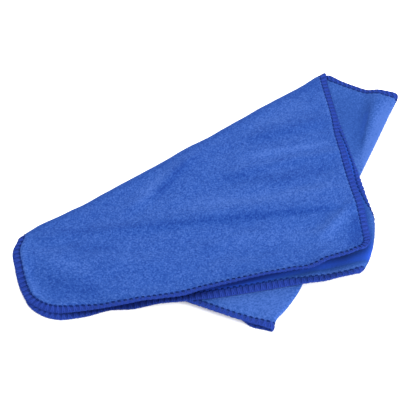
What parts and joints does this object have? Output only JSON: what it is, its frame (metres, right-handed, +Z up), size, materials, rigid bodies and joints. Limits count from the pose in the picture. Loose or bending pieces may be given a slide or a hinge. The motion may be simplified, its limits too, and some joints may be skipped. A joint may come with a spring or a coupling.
{
  "type": "folded microfibre cleaning cloth",
  "caption": "Rectangular blue microfibre cleaning cloth with rounded corners and an overlocked hem, folded in half and then folded over again on a slant.",
  "frame": {"origin": "centre of the laid cloth's box in plan, on the surface that it lies on", "axes": "+Z up off the surface, +X to the right along the laid cloth's longest side, +Y away from the viewer"},
  "size_m": [0.3402, 0.3142, 0.0121],
  "materials": {
    "microfibre": "matte brushed pile"
  },
  "bodies": {
    "root": {"cloth": "microfibre"}
  },
  "joints": []
}
